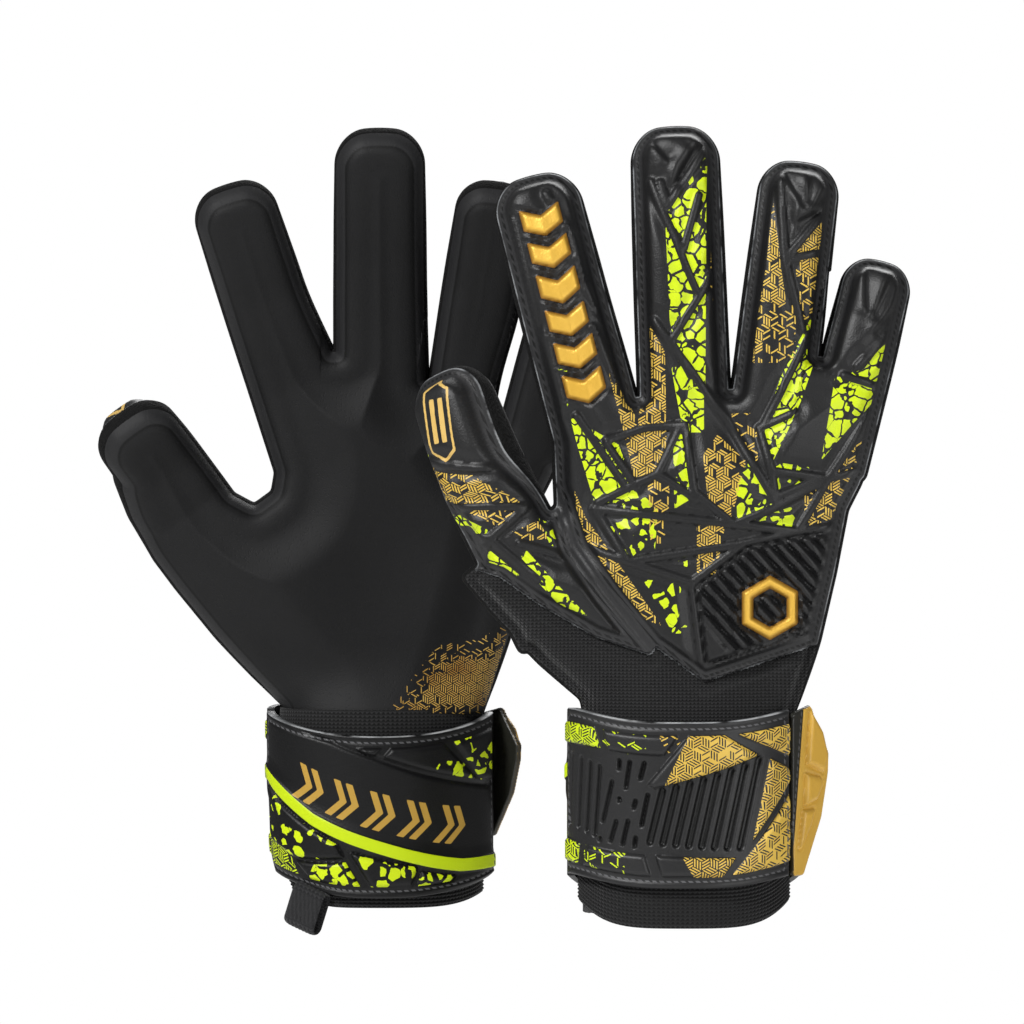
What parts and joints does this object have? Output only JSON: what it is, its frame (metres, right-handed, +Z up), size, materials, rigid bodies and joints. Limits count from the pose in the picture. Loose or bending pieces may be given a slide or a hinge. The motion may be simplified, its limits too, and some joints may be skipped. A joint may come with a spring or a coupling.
{
  "type": "goalkeeper gloves",
  "caption": "Pair of padded latex goalkeeper gloves with curling fingers, embossed backs, elastic cuffs and wrap-round wrist straps with pull tabs.",
  "frame": {"origin": "on the floor under the middle of the pair, level with the lowest point of the left pull loop", "axes": "+X from the left glove to the right glove, towards each glove's little finger; +Y away from the viewer, from the right glove to the left glove; +Z up the fingers"},
  "size_m": [0.281, 0.172, 0.2807],
  "materials": {
    "grip_latex": "matte foam",
    "embossed_latex": "satin embossed foam",
    "stretch_mesh": "knitted",
    "lining": "soft knit",
    "elastic_knit": "ribbed elastic",
    "strap_rubber": "satin embossed",
    "hook_nylon": "hook fastener",
    "gold_rubber": "satin gold",
    "loop_webbing": "woven webbing"
  },
  "bodies": {
    "left_cuff": {"left_bandage": "elastic_knit", "left_strap_wrap": "strap_rubber"},
    "left_hand": {"left_palm_latex": "grip_latex", "left_backhand_panel": "embossed_latex", "left_wrist_mesh": "stretch_mesh", "left_hand_lining": "lining"},
    "left_strap": {"left_strap_flap": "strap_rubber", "left_hook_patch": "hook_nylon"},
    "left_tab": {"left_pull_tab": "gold_rubber"},
    "left_loop": {"left_pull_loop": "loop_webbing"},
    "left_index_base": {"left_index_base_latex": "grip_latex", "left_index_base_back": "embossed_latex"},
    "left_index_tip": {"left_index_tip_latex": "grip_latex", "left_index_tip_back": "embossed_latex"},
    "left_middle_base": {"left_middle_base_latex": "grip_latex", "left_middle_base_back": "embossed_latex"},
    "left_middle_tip": {"left_middle_tip_latex": "grip_latex", "left_middle_tip_back": "embossed_latex"},
    "left_ring_base": {"left_ring_base_latex": "grip_latex", "left_ring_base_back": "embossed_latex"},
    "left_ring_tip": {"left_ring_tip_latex": "grip_latex", "left_ring_tip_back": "embossed_latex"},
    "left_little_base": {"left_little_base_latex": "grip_latex", "left_little_base_back": "embossed_latex"},
    "left_little_tip": {"left_little_tip_latex": "grip_latex", "left_little_tip_back": "embossed_latex"},
    "left_thumb_base": {"left_thumb_base_latex": "grip_latex", "left_thumb_base_back": "embossed_latex"},
    "left_thumb_tip": {"left_thumb_tip_latex": "grip_latex", "left_thumb_tip_back": "embossed_latex"},
    "right_cuff": {"right_bandage": "elastic_knit", "right_strap_wrap": "strap_rubber"},
    "right_hand": {"right_palm_latex": "grip_latex", "right_backhand_panel": "embossed_latex", "right_wrist_mesh": "stretch_mesh", "right_hand_lining": "lining"},
    "right_strap": {"right_strap_flap": "strap_rubber", "right_hook_patch": "hook_nylon"},
    "right_tab": {"right_pull_tab": "gold_rubber"},
    "right_loop": {"right_pull_loop": "loop_webbing"},
    "right_index_base": {"right_index_base_latex": "grip_latex", "right_index_base_back": "embossed_latex"},
    "right_index_tip": {"right_index_tip_latex": "grip_latex", "right_index_tip_back": "embossed_latex"},
    "right_middle_base": {"right_middle_base_latex": "grip_latex", "right_middle_base_back": "embossed_latex"},
    "right_middle_tip": {"right_middle_tip_latex": "grip_latex", "right_middle_tip_back": "embossed_latex"},
    "right_ring_base": {"right_ring_base_latex": "grip_latex", "right_ring_base_back": "embossed_latex"},
    "right_ring_tip": {"right_ring_tip_latex": "grip_latex", "right_ring_tip_back": "embossed_latex"},
    "right_little_base": {"right_little_base_latex": "grip_latex", "right_little_base_back": "embossed_latex"},
    "right_little_tip": {"right_little_tip_latex": "grip_latex", "right_little_tip_back": "embossed_latex"},
    "right_thumb_base": {"right_thumb_base_latex": "grip_latex", "right_thumb_base_back": "embossed_latex"},
    "right_thumb_tip": {"right_thumb_tip_latex": "grip_latex", "right_thumb_tip_back": "embossed_latex"}
  },
  "joints": [
    {"name": "pair_slide", "type": "slide", "parent": "left_cuff", "child": "right_cuff", "axis": [1, 0, 0], "range_m": [0, 0.2]},
    {"name": "left_wrist_flex", "type": "hinge", "parent": "left_cuff", "child": "left_hand", "pos_m": [-0.03836, 0.06, 0.083], "axis": [1, 0, 0], "range_deg": [-20, 15]},
    {"name": "left_index_curl", "type": "hinge", "parent": "left_hand", "child": "left_index_base", "pos_m": [-0.07186, 0.06, 0.19074], "axis": [0.9681, 0, 0.2504], "range_deg": [-10, 50]},
    {"name": "left_index_tip_curl", "type": "hinge", "parent": "left_index_base", "child": "left_index_tip", "pos_m": [-0.08052, 0.05452, 0.22421], "axis": [0.9681, 0, 0.2504], "range_deg": [-13, 65]},
    {"name": "left_middle_curl", "type": "hinge", "parent": "left_hand", "child": "left_middle_base", "pos_m": [-0.03836, 0.06, 0.194], "axis": [1, 0, 0], "range_deg": [-10, 50]},
    {"name": "left_middle_tip_curl", "type": "hinge", "parent": "left_middle_base", "child": "left_middle_tip", "pos_m": [-0.03836, 0.05429, 0.2346], "axis": [1, 0, 0], "range_deg": [-13, 65]},
    {"name": "left_ring_curl", "type": "hinge", "parent": "left_hand", "child": "left_ring_base", "pos_m": [-0.00768, 0.06, 0.19191], "axis": [0.989, 0, -0.1478], "range_deg": [-10, 50]},
    {"name": "left_ring_tip_curl", "type": "hinge", "parent": "left_ring_base", "child": "left_ring_tip", "pos_m": [-0.00249, 0.0519, 0.2266], "axis": [0.989, 0, -0.1478], "range_deg": [-13, 65]},
    {"name": "left_little_curl", "type": "hinge", "parent": "left_hand", "child": "left_little_base", "pos_m": [0.01471, 0.06, 0.17473], "axis": [0.9659, 0, -0.2588], "range_deg": [-10, 50]},
    {"name": "left_little_tip_curl", "type": "hinge", "parent": "left_little_base", "child": "left_little_tip", "pos_m": [0.02185, 0.05514, 0.20136], "axis": [0.9659, 0, -0.2588], "range_deg": [-13, 65]},
    {"name": "left_thumb_curl", "type": "hinge", "parent": "left_hand", "child": "left_thumb_base", "pos_m": [-0.09928, 0.06, 0.1443], "axis": [0.788, 0, 0.6157], "range_deg": [-10, 45]},
    {"name": "left_thumb_tip_curl", "type": "hinge", "parent": "left_thumb_base", "child": "left_thumb_tip", "pos_m": [-0.11433, 0.05111, 0.16356], "axis": [0.788, 0, 0.6157], "range_deg": [-10, 45]},
    {"name": "left_strap_open", "type": "hinge", "parent": "left_cuff", "child": "left_strap", "pos_m": [-0.07646, 0.06, 0.0485], "axis": [0, 0, 1], "range_deg": [0, 110]},
    {"name": "left_tab_peel", "type": "hinge", "parent": "left_strap", "child": "left_tab", "pos_m": [-0.00303, 0.06921, 0.0485], "axis": [0, 0, 1], "range_deg": [-10, 45]},
    {"name": "left_loop_swing", "type": "hinge", "parent": "left_cuff", "child": "left_loop", "pos_m": [-0.06713, 0.0428, 0.013], "axis": [-0.8143, 0.5805, 0], "range_deg": [0, 80]},
    {"name": "right_wrist_flex", "type": "hinge", "parent": "right_cuff", "child": "right_hand", "pos_m": [0.06464, -0.06, 0.083], "axis": [-1, 0, 0], "range_deg": [-20, 15]},
    {"name": "right_index_curl", "type": "hinge", "parent": "right_hand", "child": "right_index_base", "pos_m": [0.03114, -0.06, 0.19074], "axis": [-0.9681, 0, -0.2504], "range_deg": [-10, 50]},
    {"name": "right_index_tip_curl", "type": "hinge", "parent": "right_index_base", "child": "right_index_tip", "pos_m": [0.02239, -0.05817, 0.22458], "axis": [-0.9681, 0, -0.2504], "range_deg": [-13, 65]},
    {"name": "right_middle_curl", "type": "hinge", "parent": "right_hand", "child": "right_middle_base", "pos_m": [0.06436, -0.06, 0.194], "axis": [-0.9994, 0, -0.0349], "range_deg": [-10, 50]},
    {"name": "right_middle_tip_curl", "type": "hinge", "parent": "right_middle_base", "child": "right_middle_tip", "pos_m": [0.06293, -0.05714, 0.23487], "axis": [-0.9994, 0, -0.0349], "range_deg": [-13, 65]},
    {"name": "right_ring_curl", "type": "hinge", "parent": "right_hand", "child": "right_ring_base", "pos_m": [0.09505, -0.06, 0.19195], "axis": [-0.9936, 0, 0.1132], "range_deg": [-10, 50]},
    {"name": "right_ring_tip_curl", "type": "hinge", "parent": "right_ring_base", "child": "right_ring_tip", "pos_m": [0.09911, -0.05812, 0.22767], "axis": [-0.9936, 0, 0.1132], "range_deg": [-13, 65]},
    {"name": "right_little_curl", "type": "hinge", "parent": "right_hand", "child": "right_little_base", "pos_m": [0.11744, -0.06, 0.1748], "axis": [-0.9744, 0, 0.225], "range_deg": [-10, 50]},
    {"name": "right_little_tip_curl", "type": "hinge", "parent": "right_little_base", "child": "right_little_tip", "pos_m": [0.12372, -0.05805, 0.20201], "axis": [-0.9744, 0, 0.225], "range_deg": [-13, 65]},
    {"name": "right_thumb_curl", "type": "hinge", "parent": "right_hand", "child": "right_thumb_base", "pos_m": [0.00513, -0.06, 0.14519], "axis": [-0.7784, 0.5, -0.3796], "range_deg": [-10, 45]},
    {"name": "right_thumb_tip_curl", "type": "hinge", "parent": "right_thumb_base", "child": "right_thumb_tip", "pos_m": [-0.00542, -0.05843, 0.1689], "axis": [-0.7784, 0.5, -0.3796], "range_deg": [-10, 45]},
    {"name": "right_strap_open", "type": "hinge", "parent": "right_cuff", "child": "right_strap", "pos_m": [0.02654, -0.06, 0.0485], "axis": [0, 0, -1], "range_deg": [0, 110]},
    {"name": "right_tab_peel", "type": "hinge", "parent": "right_strap", "child": "right_tab", "pos_m": [0.09997, -0.06921, 0.0485], "axis": [0, 0, -1], "range_deg": [-10, 45]},
    {"name": "right_loop_swing", "type": "hinge", "parent": "right_cuff", "child": "right_loop", "pos_m": [0.03587, -0.0428, 0.013], "axis": [0.8143, 0.5805, 0], "range_deg": [-75, 5]}
  ],
  "couplings": [
    {"joint": "left_index_tip_curl", "follows": "left_index_curl", "ratio": 1.3},
    {"joint": "left_middle_tip_curl", "follows": "left_middle_curl", "ratio": 1.3},
    {"joint": "left_ring_tip_curl", "follows": "left_ring_curl", "ratio": 1.3},
    {"joint": "left_little_tip_curl", "follows": "left_little_curl", "ratio": 1.3},
    {"joint": "left_thumb_tip_curl", "follows": "left_thumb_curl", "ratio": 1},
    {"joint": "right_index_tip_curl", "follows": "right_index_curl", "ratio": 1.3},
    {"joint": "right_middle_tip_curl", "follows": "right_middle_curl", "ratio": 1.3},
    {"joint": "right_ring_tip_curl", "follows": "right_ring_curl", "ratio": 1.3},
    {"joint": "right_little_tip_curl", "follows": "right_little_curl", "ratio": 1.3},
    {"joint": "right_thumb_tip_curl", "follows": "right_thumb_curl", "ratio": 1}
  ]
}
